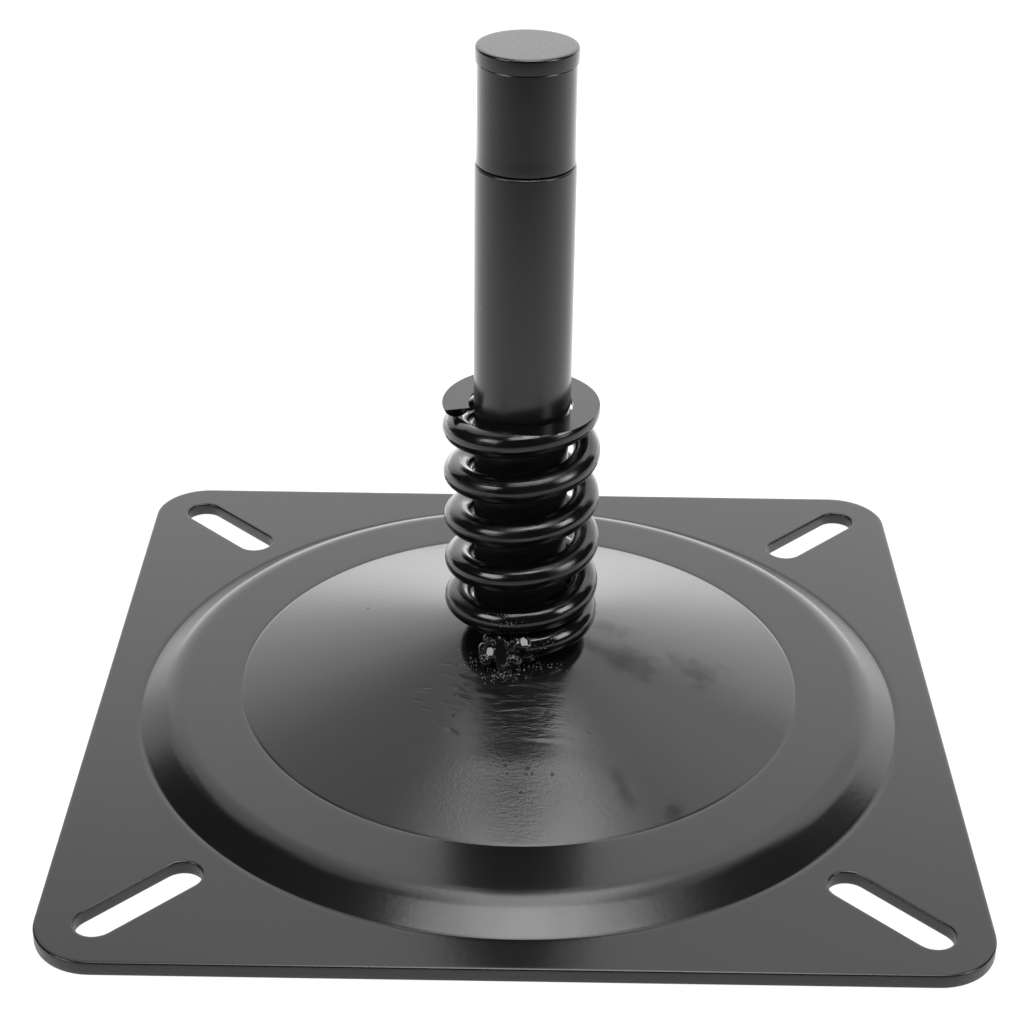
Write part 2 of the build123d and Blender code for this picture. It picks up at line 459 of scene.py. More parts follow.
# %% [markdown]
# ## Finish of the spring
# Spring wire is drawn through a die, which leaves scratches along its length, and its coat is
# thick and glossy. The scratches must follow the wire round its turns, so they use the UV map
# that the spring's mesh gets later: one direction along the wire and one round it.

# %% Material: spring
spring_coat, tree, shader, bump = black_coat("spring_coat", 0.17, 1.3, 0.008, colour=0.003)
wire_map = tree.nodes.new("ShaderNodeUVMap")
wire_map.uv_map = "wire"


def along_wire(length_scale, round_scale, detail):
    """Noise drawn out along the wire."""
    stretch = drawn_out(tree, wire_map.outputs[0], (length_scale, round_scale, 1))
    return noise_over(tree, stretch, Scale=1.0, Detail=detail, Roughness=0.7)


patches = noise_over(tree, millimetres(tree), Scale=0.12, Detail=2.0)
worn = fade(tree, patches, 0.45, 0.62, 0.25, 1.0)
scratched = maths(tree, "MULTIPLY", along_wire(0.10, 2.8, 4.0), worn)
bump = add_bump(tree, shader, bump, scratched, 0.035)
add_bump(tree, shader, bump, along_wire(0.04, 0.9, 2.0), 0.10)
tree.links.new(fade(tree, scratched, 0.1, 0.6, 0.13, 0.24), shader.inputs["Roughness"])
print("material:", spring_coat.name)

# %% [markdown]
# ## Finish of the welds
# Weld metal is lumpy and full of small pits. The coat is as glossy as on the spring, and soft
# cells of a Voronoi texture pit it. The spatter grains get a light grey colour and a little
# Metallic, so that they show as bright specks: painted highlights in place of their glints.

# %% Material: welds
weld_coat, tree, shader, bump = black_coat("weld_coat", 0.13, 0.8, 0.012, colour=0.004, fine=0.6, many=0.4)
scale_bits = add_node(tree, "ShaderNodeTexVoronoi", {"feature": "SMOOTH_F1"}, Scale=0.9, Smoothness=0.8)
tree.links.new(millimetres(tree), scale_bits.inputs["Vector"])
add_bump(tree, shader, bump, scale_bits.outputs["Distance"], 0.015)
print("material:", weld_coat.name)

# %% Material: spatter
# Light grey colour and a little Metallic make the grains bright specks: painted highlights for their
# glints.
spatter_painted_glint, _, shader, _ = black_coat("spatter_painted_glint", 0.2, 0.5, 0.01, colour=0.3, many=0.1)
shader.inputs["Metallic"].default_value = 0.35
print("material:", spatter_painted_glint.name)

# %% [markdown]
# ## Finish of the bush
# The bush is black nylon, moulded and polished by handling. It has only a very fine grain, and
# long faint streaks where the sleeve has slid over it. Noise squeezed flat along Z draws them.

# %% Material: bush
bush_nylon, tree, shader, bump = black_coat("bush_nylon", 0.24, 2.5, 0.006, colour=0.0012, many=0.1)
slide = drawn_out(tree, millimetres(tree), (1.6, 1.6, 0.05))
streaks = noise_over(tree, slide, Scale=1.0, Detail=3.0, Roughness=0.6)
add_bump(tree, shader, bump, streaks, 0.006)
rubbed = fade(tree, streaks, 0.35, 0.7, 0.20, 0.28)
tree.links.new(rubbed, shader.inputs["Roughness"])
print("material:", bush_nylon.name)

# %% [markdown]
# ## The pressed plate
# On the real base a press pushes a dome into 3 mm sheet: first a rounded shoulder, then a flat
# shelf, then a shallow cone up to the pin. The tool leaves a thin groove round the shoulder and a
# crease where the cone starts. The mesh is made in two ways. The pressing is round, so rings of
# points fit it. The flat corners have slots and straight sides, so a triangulation fills them.

# %% Outlines of the plate from above
def turned(x, y, a):
    """The point turned about the middle of the plate."""
    return x * math.cos(a) - y * math.sin(a), x * math.sin(a) + y * math.cos(a)


def square_loop(inset, step=1.6, corner_steps=14):
    """Points round the square plate, moved inward by an inset."""
    half = PLATE_HALF - inset
    r = CORNER_R - inset
    run = half - r
    side = int(2 * run / step)
    quarter = []
    for k in range(corner_steps):
        a = math.pi / 2 * k / corner_steps
        quarter.append((run + r * math.cos(a), run + r * math.sin(a)))
    quarter += [(run - 2 * run * k / side, half) for k in range(side)]
    return [turned(x, y, math.pi / 2 * number) for number in range(4) for x, y in quarter]


SLOT_MIDDLE = 70.5 * math.sqrt(2)
SLOT_HALF_RUN = 7.0 * math.sqrt(2)
SLOT_R = 4.05


def slot_loop(number, outset, end_steps=14, side_steps=10):
    """Points round one slot, moved outward by an outset."""
    a = math.radians(45 + 90 * number)
    r = SLOT_R + outset
    half = []
    for k in range(end_steps):
        b = -math.pi / 2 + math.pi * k / end_steps
        half.append((SLOT_HALF_RUN + r * math.cos(b), r * math.sin(b)))
    half += [(SLOT_HALF_RUN - 2 * SLOT_HALF_RUN * k / side_steps, r) for k in range(side_steps)]
    flat = half + [(-x, -y) for x, y in half]
    return [turned(SLOT_MIDDLE + x, y, a) for x, y in flat]


def wall_steps(rounding, support):
    """(offset, height) pairs down a wall of the sheet, with both edges rounded."""
    down = [(support, SHEET)]
    for k in range(4):
        a = math.radians(30 * k)
        down.append((rounding * (1 - math.sin(a)), SHEET - rounding * (1 - math.cos(a))))
    down.append((0.0, SHEET * 0.6))
    return down + [(offset, SHEET - z) for offset, z in reversed(down)]


print("points round the plate:", len(square_loop(0)))

# %% [markdown]
# ### Outline of the pressing
# The angles are closer together at the front, where the weld and its ripples are, so the fine
# marks there get enough points without making the whole plate heavy.

# %% Profile of the pressing and the marks on it
FINE_FROM = 14.0
FINE_TO = 42.2
TOOL_GROOVE = 0.13
CREASE_MARK = (
    (-0.5, 0.0), (-0.28, -0.015), (-0.12, -0.05), (0.0, -0.07), (0.14, -0.05), (0.3, -0.01), (0.5, 0.0)
)


def top_profile():
    """(radius, height) points from the pin hole out to the flat of the plate."""
    radii = [HOLE_R, HOLE_R + 1.0, 12.0]
    radii += [FINE_FROM + 0.34 * k for k in range(83)]
    radii += [FINE_TO + 1.0 * k for k in range(1, 17)]
    out = [(r, cone_top(r)) for r in radii if r < CREASE_R - 0.6]
    for step, drop in CREASE_MARK:
        r = CREASE_R + step
        out.append((r, max(cone_top(r), SHELF_TOP) + drop))
    out += [(r, SHELF_TOP) for r in (61.0, 63.0, 65.0, 67.0, 69.0, 70.0)]
    for k in range(17):
        a = FLANK * k / 16
        out.append((SHELF_R + BEND_R * math.sin(a), SHELF_TOP - BEND_R * (1 - math.cos(a))))
    fall = math.tan(FLANK)
    out += [(PRESS_R - step, SHEET + step * fall) for step in (3.5, 2.5, 1.5, 0.8, 0.3)]
    out += [(PRESS_R + 0.12, SHEET - TOOL_GROOVE * 0.8), (PRESS_R + 0.22, SHEET - TOOL_GROOVE)]
    out += [(PRESS_R + 0.34, SHEET - TOOL_GROOVE * 0.9), (PRESS_R + 0.8, SHEET - 0.02)]
    out += [(PRESS_R + 0.95, SHEET), (PRESS_R + 1.5, SHEET)]
    return out


def under_profile():
    """(radius, height) points of the lower face, from the flat of the plate in to the pin hole."""
    radius = BEND_R - SHEET
    bend_out = SHELF_R + radius * math.sin(FLANK)
    bend_low = SHELF_TOP - BEND_R + radius * math.cos(FLANK)
    foot = bend_out + bend_low / math.tan(FLANK)
    out = [(foot + 1.0, 0.0), (foot, 0.0), ((foot + bend_out) / 2, bend_low / 2)]
    for k in range(11):
        a = FLANK * (1 - k / 10)
        out.append((SHELF_R + radius * math.sin(a), SHELF_TOP - BEND_R + radius * math.cos(a)))
    out += [(66.0, SHELF_TOP - SHEET), (62.0, SHELF_TOP - SHEET)]
    out += [(r, cone_under(r)) for r in (58.4, 50.0, 40.0, 30.0, 20.0, 14.0, HOLE_R)]
    return out


PRESS_SHIFT = ((HOLE_R, 0.0, 0.0), (CREASE_R, 0.2, 0.55), (SHELF_R, 0.2, 0.1), (PRESS_R, 0.15, -0.4))


def press_shift(r):
    """The die sat a little off the middle: how far the ring of radius r is moved, in millimetres."""
    for (r0, x0, y0), (r1, x1, y1) in zip(PRESS_SHIFT, PRESS_SHIFT[1:]):
        if r <= r1:
            t = (r - r0) / (r1 - r0)
            return x0 + (x1 - x0) * t, y0 + (y1 - y0) * t
    return PRESS_SHIFT[-1][1:]


def angles_round():
    """Angles round the pressing, closer at the front."""
    out = []
    a = 0.0
    while a < 359.9:
        out.append(math.radians(a))
        a += 0.6 if 234 <= a < 306 else 1.5
    return out


print("rings:", len(top_profile()), "angles:", len(angles_round()))

# %% [markdown]
# ### Small dents and wrinkles
# Welding heat bent the sheet slightly in front of the spring. A few long, low wrinkles lie across
# the cone there. They are real shape, so they move the points of the mesh, by about a tenth of a
# millimetre at most. The very fine ripples between them stay in the material.

# %% Wrinkles in front of the weld
# x, y, half length, half width, height, turn
WRINKLES = (
    (0.0, -38.6, 17.0, 3.6, 0.13, 0.0),
    (-13.0, -31.0, 1.3, 0.35, -0.12, -38.0),
    (-18.0, -33.5, 4.0, 0.5, -0.03, -14.0),
    (2.5, -19.1, 5.5, 0.5, 0.075, 7.0),
    (-5.0, -22.2, 3.4, 0.6, 0.06, -14.0),
    (0.6, -25.4, 5.0, 0.5, 0.06, 3.0),
    (5.0, -33.0, 4.6, 0.5, 0.035, 0.0),
    (3.2, -33.9, 3.4, 0.5, -0.04, 0.0),
    (-10.6, -16.6, 1.9, 0.45, -0.09, -24.0),
    (-12.4, -19.5, 1.9, 0.45, -0.09, -24.0),
    (-11.2, -22.0, 1.7, 0.45, -0.09, -20.0),
    (-14.0, -23.6, 1.8, 0.45, -0.06, -24.0),
    (15.6, -20.8, 2.6, 0.35, 0.05, 14.0),
    (14.4, -22.3, 2.4, 0.35, 0.05, 14.0),
)


def wrinkle_height(x, y):
    """How far the sheet is raised at a point, in millimetres."""
    raised = 0.0
    for cx, cy, long, wide, tall, turn in WRINKLES:
        a = math.radians(turn)
        u = ((x - cx) * math.cos(a) + (y - cy) * math.sin(a)) / long
        v = ((y - cy) * math.cos(a) - (x - cx) * math.sin(a)) / wide
        if u * u + v * v < 9:
            raised += tall * math.exp(-u * u - v * v)
    reach = math.hypot(x * 0.8, y + 24) / 17
    if reach < 1:
        raised += 0.05 * (1 - reach) ** 2 * noise.noise(Vector((x * 0.25, y * 0.7, 1.7)))
    return raised


print("raised close to the weld:", round(wrinkle_height(2.5, -19.1), 3), "mm")

# %% Build the plate
FILL_REACH = 84
FILL_STEP = 6
CLEAR_SQUARED = 4.5
WRINKLED_FRONT = -12


def is_inside(loop, x, y):
    """True if a point lies within a loop: a ray to the right crosses it an odd number of times."""
    odd = False
    for (ax, ay), (bx, by) in zip(loop, loop[1:] + loop[:1]):
        if (ay > y) != (by > y) and x < ax + (bx - ax) * (y - ay) / (by - ay):
            odd = not odd
    return odd


def fill_flat(points, loops):
    """Triangles of the flat between the first loop and the holes inside it."""
    owner = [(i, number) for number, loop in enumerate(loops) for i in loop]
    height = points[loops[0][0]][2]
    flat = [Vector(points[i][:2]) for i, _ in owner]
    shapes = [[points[i][:2] for i in loop] for loop in loops]
    edges = []
    start = 0
    for loop in loops:
        edges += [(start + k, start + (k + 1) % len(loop)) for k in range(len(loop))]
        start += len(loop)
    grid = range(-FILL_REACH, FILL_REACH + 1, FILL_STEP)
    for x in grid:
        for y in grid:
            clear = all((x - v.x) ** 2 + (y - v.y) ** 2 > CLEAR_SQUARED for v in flat[:start])
            if clear and is_inside(shapes[0], x, y) and not any(is_inside(s, x, y) for s in shapes[1:]):
                flat.append(Vector((x, y)))
    verts, _, tris, origin, _, _ = geometry.delaunay_2d_cdt(flat, edges, [], 0, 1e-6)
    index = []
    on_loop = []
    for k, sources in enumerate(origin):
        if sources and min(sources) < start:
            i, number = owner[min(sources)]
        else:
            i, number = len(points), None
            points.append((verts[k].x, verts[k].y, height))
        index.append(i)
        on_loop.append(number)
    faces = []
    for tri in tris:
        numbers = {on_loop[k] for k in tri}
        if len(numbers) > 1 or not numbers - {0, None}:
            faces.append(tuple(index[k] for k in tri))
    return faces


def build_plate():
    """The whole sheet: pressing, flats, slots and rim, as one closed skin."""
    points = []

    def press_ring(r):
        dx, dy = press_shift(r)
        return [(r * math.cos(a) + dx, r * math.sin(a) + dy) for a in angles_round()]

    def level(loop, z):
        return add_ring(points, [(x, y, z) for x, y in loop])

    top = []
    for r, z in top_profile():
        ring = []
        for x, y in press_ring(r):
            lift = wrinkle_height(x, y) if r < CREASE_R and y < WRINKLED_FRONT else 0.0
            ring.append((x, y, z + lift))
        top.append(add_ring(points, ring))
    under = [level(press_ring(r), z) for r, z in under_profile()]
    faces = join_rings(top) + join_rings(under) + join_rings([under[-1], top[0]])
    rim = [level(square_loop(inset), z) for inset, z in wall_steps(0.4, 0.9)]
    faces += join_rings(rim)
    slots = []
    for number in range(4):
        wall = [level(slot_loop(number, outset), z) for outset, z in wall_steps(0.35, 0.7)]
        faces += join_rings(wall)
        slots.append(wall)
    faces += fill_flat(points, [rim[0]] + [wall[0] for wall in slots] + [top[-1]])
    faces += fill_flat(points, [rim[-1]] + [wall[-1] for wall in slots] + [under[0]])
    return points, faces


plate = make_piece("pressed_plate", *build_plate(), sharp_deg=60)
dress(plate, "base", "plate_paint", plate_coat, "mounting_plate")

# %% [markdown]
# ## The pin
# The pin is a turned bar. Its top steps down to a thinner spigot, hidden in the bush, so all it
# takes is one outline and the lathe. The small rounding at the shoulder catches a line of light
# just under the bush.

# %% Build the pin
pin_outline = rounded_outline([
    (0, PIN_FOOT, 0), (SHANK_R, PIN_FOOT, 0.4), (SHANK_R, SPRING_TOP, 0.05), (PIN_R, SPRING_TOP, 0.05),
    (PIN_R, 90, 0), (PIN_R, PIN_SHOULDER, 0.45), (7.5, PIN_SHOULDER, 0), (SPIGOT_R, PIN_SHOULDER, 0.1),
    (SPIGOT_R, SPIGOT_TOP, 0.5), (0, SPIGOT_TOP, 0),
])
pin = make_piece("turned_pin", *lathe(pin_outline, TURNED_STEPS), sharp_deg=30)
dress(pin, "base", "pin_paint", pin_coat, "pin_post")

# %% [markdown]
# ## The end bush
# The bush is a moulded cap. Its body is a little thinner than the pin, it flares at the bottom,
# and a fine line under the head shows where the mould parted. A rounded lip runs round the top.

# %% Build the bush
BUSH_BOTTOM = PIN_SHOULDER + 0.3
HEAD_BOTTOM = BUSH_BOTTOM + 19.6
BUSH_TOP = HEAD_BOTTOM + 3.0
BUSH_R = 9.37
PARTING_R = 9.29
BORE_R = 6.08
BORE_TOP = 143.65
bush_outline = rounded_outline([
    (0, BORE_TOP, 0), (BORE_R, BORE_TOP, 0.1), (BORE_R, 126.0, 0), (BORE_R, BUSH_BOTTOM, 0.1),
    (9.5, BUSH_BOTTOM, 0.12), (9.4, BUSH_BOTTOM + 1.6, 0), (BUSH_R, BUSH_BOTTOM + 3.5, 0),
    (BUSH_R, 135, 0), (BUSH_R, HEAD_BOTTOM - 0.3, 0.05), (PARTING_R, HEAD_BOTTOM - 0.16, 0.03),
    (PARTING_R, HEAD_BOTTOM, 0.03), (9.68, HEAD_BOTTOM + 0.05, 0.1),
    (9.8, BUSH_TOP, 0.5), (8.6, BUSH_TOP, 0), (4.0, BUSH_TOP, 0), (0, BUSH_TOP, 0),
])
bush = make_piece("nylon_bush", *lathe(bush_outline, TURNED_STEPS), sharp_deg=30)
dress(bush, "bush", "bush_plastic", bush_nylon, "end_bush")

# %% [markdown]
# ## The coil spring
# A spring is one wire wound on a mandrel. Its first turn lies close on the cone, four turns stand
# open, and the last turn closes up and is ground flat, so that the seat post lands on a level
# ring. The mesh follows the wire: a circle of points is placed square to the helix at each step,
# and then a flat cut takes the top off, as the grinder does.

# %% Shape of the wire
FOOT_ANGLE = math.radians(-97.0)
# turns, rise of one turn
PITCHES = ((1.0, 5.75), (4.15, 10.2), (0.66, 3.458))
TURNS = sum(turns for turns, _ in PITCHES)
WIRE_STEPS = 128
WIRE_SIDES = 36
SWAY = ((23.0, 0.33), (42.0, 0.4), (52.0, 0.1), (62.0, 0.1), (73.0, -0.25), (80.0, -0.25))


def coil_height(turn):
    """Height of the wire's centre after some turns, with soft changes of pitch."""
    def straight(t):
        z = WIRE_START_Z
        for turns, pitch in PITCHES:
            done = min(t, turns)
            z += done * pitch
            t -= done
        return z
    soft = 0.12
    inside = [min(max(turn + soft * s, 0.0), TURNS) for s in (-1, -0.5, 0, 0.5, 1)]
    blend = sum(straight(t) for t in inside) / 5
    edge = min(turn, TURNS - turn) / soft
    return blend if edge >= 1 else straight(turn) * (1 - edge) + blend * edge


def sway(z):
    """The spring leans a little, as the photograph shows: its shift to the right at a height."""
    for (z0, x0), (z1, x1) in zip(SWAY, SWAY[1:]):
        if z <= z1:
            return x0 + (x1 - x0) * (z - z0) / (z1 - z0)
    return SWAY[-1][1]


def coil_point(turn):
    """Centre of the wire."""
    a = FOOT_ANGLE + 2 * math.pi * turn
    z = coil_height(turn)
    return Vector((COIL_R * math.cos(a) + sway(z), COIL_R * math.sin(a), z))


print("wire ends at height", round(coil_point(TURNS).z, 2), "mm")

# %% Build the spring
def build_spring():
    """Mesh of the wire with its UV map and its ground top."""
    steps = round(TURNS * WIRE_STEPS)
    bm = bmesh.new()
    uv = bm.loops.layers.uv.new("wire")
    rings = []
    for s in range(steps + 1):
        turn = TURNS * s / steps
        here = coil_point(turn)
        ahead = (coil_point(turn + 1e-3) - coil_point(turn - 1e-3)).normalized()
        a = FOOT_ANGLE + 2 * math.pi * turn
        out = Vector((math.cos(a), math.sin(a), 0))
        up = out.cross(ahead).normalized() * -1
        ring = []
        for b in around(WIRE_SIDES):
            p = here + (out * math.cos(b) + up * math.sin(b)) * WIRE_R
            ring.append(bm.verts.new(p * MM))
        rings.append(ring)
    along = 2 * math.pi * COIL_R * TURNS / steps
    round_wire = 2 * math.pi * WIRE_R / WIRE_SIDES
    for s in range(steps):
        for k in range(WIRE_SIDES):
            n = (k + 1) % WIRE_SIDES
            face = bm.faces.new((rings[s][k], rings[s][n], rings[s + 1][n], rings[s + 1][k]))
            marks = ((s, k), (s, k + 1), (s + 1, k + 1), (s + 1, k))
            for loop, (u, v) in zip(face.loops, marks):
                loop[uv].uv = (u * along, v * round_wire)
    bm.faces.new(rings[0])
    bm.faces.new(rings[-1])
    geom = bm.verts[:] + bm.edges[:] + bm.faces[:]
    cut = bmesh.ops.bisect_plane(
        bm, geom=geom, plane_co=(0, 0, SPRING_TOP * MM), plane_no=(0, 0, 1), clear_outer=True
    )
    rim = [e for e in cut["geom_cut"] if isinstance(e, bmesh.types.BMEdge)]
    bmesh.ops.triangle_fill(bm, use_beauty=True, use_dissolve=False, edges=rim)
    bmesh.ops.recalc_face_normals(bm, faces=bm.faces)
    mesh = smooth_mesh("coil_spring_wire", bm)
    mesh.set_sharp_from_angle(angle=math.radians(25))
    return mesh


spring = add_object("coil_spring_wire", build_spring())
print(spring.name, "has", len(spring.data.polygons), "faces")
dress(spring, "base", "spring_paint", spring_coat, "coil_spring")

# %% [markdown]
# ### How the spring gives way
# Under a seat the spring gets 18 mm shorter. Its foot stays welded down while the rest closes up.
# Here the spring and its spatter only get their own copies of their meshes.


def squeeze(piece):
    """Give the piece its own copy of its mesh."""
    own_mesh(piece)


squeeze(spring)

# %% [markdown]
# ## The weld at the spring's foot
# A short, lumpy weld holds the foot. Weld metal freezes in blobs, so the mesh starts as a few
# overlapping balls. A voxel remesh melts them into one skin, smoothing softens it, and noise
# moves its points along their normals to give the lumps of cooled metal. Three flat spots are
# pressed in, as the photograph shows: one dark, and two that catch the light.

# %% Build the foot weld
# x, y, z, radius
WELD_BLOBS = (
    (-3.8, -13.3, 22.9, 3.2),
    (-5.1, -13.4, 21.9, 2.3),
    (-6.7, -13.2, 22.3, 1.7),
    (-6.6, -14.4, 20.7, 1.7),
    (-5.8, -12.9, 24.8, 1.4),
    (-0.1, -13.4, 23.8, 2.6),
    (-0.9, -15.0, 21.2, 1.9),
    (2.0, -14.4, 22.2, 1.7),
    (-3.0, -15.6, 20.6, 1.6),
    (0.8, -14.1, 24.7, 2.2),
)
FACET_CORE = 0.85
FACET_BLEND = 0.25
# middle, direction, half width, half height, lean
FACETS = (
    ((-3.6, -15.3, 23.2), (-0.1, -0.87, 0.48), 1.6, 3.4, 8),
    ((-5.75, -14.8, 23.1), (-0.377, -0.689, 0.618), 1.25, 1.1, 0),
    ((1.13, -15.35, 25.88), (0.415, -0.668, 0.617), 1.35, 0.95, -25),
)


def ball(bm, x, y, z, r, detail):
    """Round lump in millimetres."""
    bmesh.ops.create_icosphere(
        bm, subdivisions=detail, radius=r * MM, matrix=Matrix.Translation((x * MM, y * MM, z * MM))
    )


def build_foot_weld():
    """One lumpy bead in front of the wire's end."""
    bm = bmesh.new()
    for blob in WELD_BLOBS:
        ball(bm, *blob, detail=3)
    weld = add_object("foot_weld", smooth_mesh("foot_weld", bm))
    melt = weld.modifiers.new("melt", "REMESH")
    melt.mode = "VOXEL"
    melt.voxel_size = 0.2 * MM
    soften = weld.modifiers.new("soften", "SMOOTH")
    soften.factor = 0.6
    soften.iterations = 5
    shown = weld.evaluated_get(bpy.context.evaluated_depsgraph_get())
    final = bpy.data.meshes.new_from_object(shown)
    weld.modifiers.clear()
    weld.data = final
    planes = []
    for middle, looks, wide, tall, lean in FACETS:
        looks = Vector(looks).normalized()
        across = looks.cross(UP).normalized()
        across = Matrix.Rotation(math.radians(lean), 3, looks) @ across
        planes.append((Vector(middle), looks, across / wide, looks.cross(across) / tall))
    for v in final.vertices:
        p = v.co / MM
        uneven = 1 + 0.35 * noise.noise(p * 1.1 + Vector((0, 3, 0)))
        reach = [math.hypot((p - m).dot(a), (p - m).dot(d)) * uneven for m, _, a, d in planes]
        rough = min(max((min(reach) - FACET_CORE) / FACET_BLEND, 0.0), 1.0)
        lumps = noise.noise(p * 0.6) * 0.3 + noise.noise(p * 1.3 + Vector((5, 0, 0))) * 0.12
        crust = noise.noise(p * 3.4) * 0.02
        p += v.normal * (lumps + crust) * rough
        for near, (middle, looks, _, _) in zip(reach, planes):
            proud = (p - middle).dot(looks)
            flatness = (FACET_CORE + FACET_BLEND - near) / FACET_BLEND
            if flatness > 0 and proud > 0:
                p -= looks * proud * min(flatness, 1.0)
        v.co = p * MM
    final.shade_smooth()
    return weld


foot_weld = build_foot_weld()
print(foot_weld.name, "has", len(foot_weld.data.polygons), "faces")
dress(foot_weld, "base", "weld_paint", weld_coat, "spring_tack_weld")

# %% [markdown]
# ### Spatter
# Welding throws out sparks that freeze as grains on whatever is near. Each grain is a tiny ball
# sunk halfway into the surface under it. A fixed seed places them the same way on every run. The
# grains on the wire are a piece of their own.

# %% Build the spatter
SPATTER_SEED = 7
# x, y, width, depth, how many, smallest and largest radius
SPATTER_PATCHES = (
    (-3.3, -16.9, 3.6, 1.9, 110, 0.05, 0.13),
    (-1.5, -15.4, 5.0, 0.9, 50, 0.06, 0.15),
    (5.0, -14.6, 5.0, 1.6, 40, 0.05, 0.12),
    (-9.8, -13.4, 2.6, 2.2, 34, 0.05, 0.11),
    (-12.0, -9.6, 1.6, 2.4, 16, 0.05, 0.11),
)
# turn, how many
COIL_GRAINS = ((0.985, 44), (0.06, 24))


def make_spatter(name, grains):
    """One piece of many grains, each a place and a radius."""
    bm = bmesh.new()
    for spot, r in grains:
        ball(bm, *spot, r, 1)
    print(name, "has", len(grains), "grains")
    return add_object(name, smooth_mesh(name, bm))


dice = random.Random(SPATTER_SEED)
cone_grains = []
for x, y, wide, deep, count, small, large in SPATTER_PATCHES:
    for _ in range(count):
        px = x + dice.gauss(0, 0.5) * wide
        py = y + dice.gauss(0, 0.5) * deep
        r = dice.uniform(small, large)
        cone_grains.append(((px, py, cone_top(math.hypot(px, py)) + wrinkle_height(px, py) + r * 0.2), r))
coil_grains = []
for turn, count in COIL_GRAINS:
    for _ in range(count):
        here = coil_point(turn + dice.gauss(0, 0.022))
        tilt = math.radians(dice.uniform(5, 60))
        out = Vector((here.x, here.y, 0)).normalized()
        r = dice.uniform(0.05, 0.11)
        coil_grains.append((here + (out * math.cos(tilt) + UP * math.sin(tilt)) * (WIRE_R + r * 0.2), r))

# %% Dress the spatter
spatter = make_spatter("weld_spatter", cone_grains)
dress(spatter, "base", "weld_paint", spatter_painted_glint)
spring_spatter = make_spatter("spring_spatter", coil_grains)
dress(spring_spatter, "base", "weld_paint", spatter_painted_glint)
squeeze(spring_spatter)

# %% [markdown]
# ### Blisters in the coat
# Gas from the hot steel blew small craters into the coat in front of the weld. Each is a flat ring
# with a hollow middle, so a low turned rim is enough.

# %% Build the blisters
# x, y, radius
BLISTERS = (
    (-5.9, -37.5, 0.26), (-2.9, -37.5, 0.36), (-1.4, -38.3, 0.3), (1.2, -37.5, 0.36), (4.4, -37.4, 0.4),
    (-2.1, -39.8, 0.3), (2.2, -40.4, 0.42), (7.0, -41.6, 0.28), (0.9, -46.1, 0.32), (-1.8, -41.7, 0.22),
    (1.9, -41.8, 0.2), (3.0, -41.6, 0.2), (14.4, -30.5, 0.22), (-13.0, -26.8, 0.34), (-33.1, 17.1, 0.3),
)


def build_blisters():
    """Small rims on the cone, square to its slope."""
    points = []
    faces = []
    rim = ((1.15, -0.05), (1.05, 0.1), (0.8, 0.26), (0.6, 0.2), (0.4, 0.02), (0.38, -0.05))
    for x, y, size in BLISTERS:
        r = math.hypot(x, y)
        normal = Vector((x / r * CONE_SLOPE, y / r * CONE_SLOPE, 1)).normalized()
        side = normal.cross(UP).normalized()
        front = normal.cross(side)
        seat = Vector((x, y, cone_top(r) + wrinkle_height(x, y)))
        arms = [side * math.cos(a) + front * math.sin(a) for a in around(14)]
        rings = []
        for reach, tall in rim:
            middle = seat + normal * size * tall
            rings.append(add_ring(points, [middle + arm * size * reach for arm in arms]))
        faces += join_rings(rings + [rings[0]])
    return points, faces


blisters = make_piece("coat_blisters", *build_blisters(), sharp_deg=80)
dress(blisters, "base", "plate_paint", plate_coat)

# %% [markdown]
# ## The weld under the plate
# Under the pressing a ring of weld holds the pin. A welder lays it as a row of overlapping drops,
# so the outline of the bead swells and shrinks a little on the way round.

# %% Build the weld under the plate
RING_LEG = 4.0
RING_STEPS = 312
RING_DROPS = 26


def build_ring_weld():
    """Bead round the pin's stub, with a ripple for each drop."""
    corner = Vector((SHANK_R, cone_under(SHANK_R)))
    toe = Vector((SHANK_R + RING_LEG, cone_under(SHANK_R + RING_LEG)))
    foot = Vector((SHANK_R, corner.y - RING_LEG))
    out = Vector((toe.y - foot.y, foot.x - toe.x)).normalized()
    points = []
    rings = []
    for s, a in enumerate(around(RING_STEPS)):
        phase = (s / RING_STEPS * RING_DROPS) % 1.0
        swell = 0.12 * math.sin(math.pi * phase) - 0.06
        across = []
        for k in range(11):
            t = k / 10
            bow = 4 * t * (1 - t)
            across.append(toe.lerp(foot, t) + out * bow * (0.3 + swell))
        across.append(corner)
        ring = [(p.x * math.cos(a), p.x * math.sin(a), p.y) for p in across]
        rings.append(add_ring(points, ring))
    return points, join_rings(rings + [rings[0]])


ring_weld = make_piece("pin_ring_weld", *build_ring_weld(), sharp_deg=50)
dress(ring_weld, "base", "weld_paint", weld_coat, "pin_weld")

# %% [markdown]
# ## The studio
# The photograph was taken on a white table with soft panels of light behind and above, and dark
# on the camera's side. A black coat shows little of its own colour, so nearly all that the camera
# sees is a reflection of these panels. Their places and brightness were worked out backwards: for
# each spot on the object, the slope there says which way the camera's view bounces, and the
# photograph says how bright it is that way.

# %% Floor and room
def seen_or_mirrored(tree, seen, mirrored):
    """Brightness for the camera's own view and another for light and reflections."""
    path = tree.nodes.new("ShaderNodeLightPath")
    choice = add_node(tree, "ShaderNodeMix", {"data_type": "FLOAT"})
    tree.links.new(path.outputs["Is Camera Ray"], choice.inputs["Factor"])
    feed(tree, seen, choice.inputs["B"])
    feed(tree, mirrored, choice.inputs["A"])
    return choice.outputs["Result"]


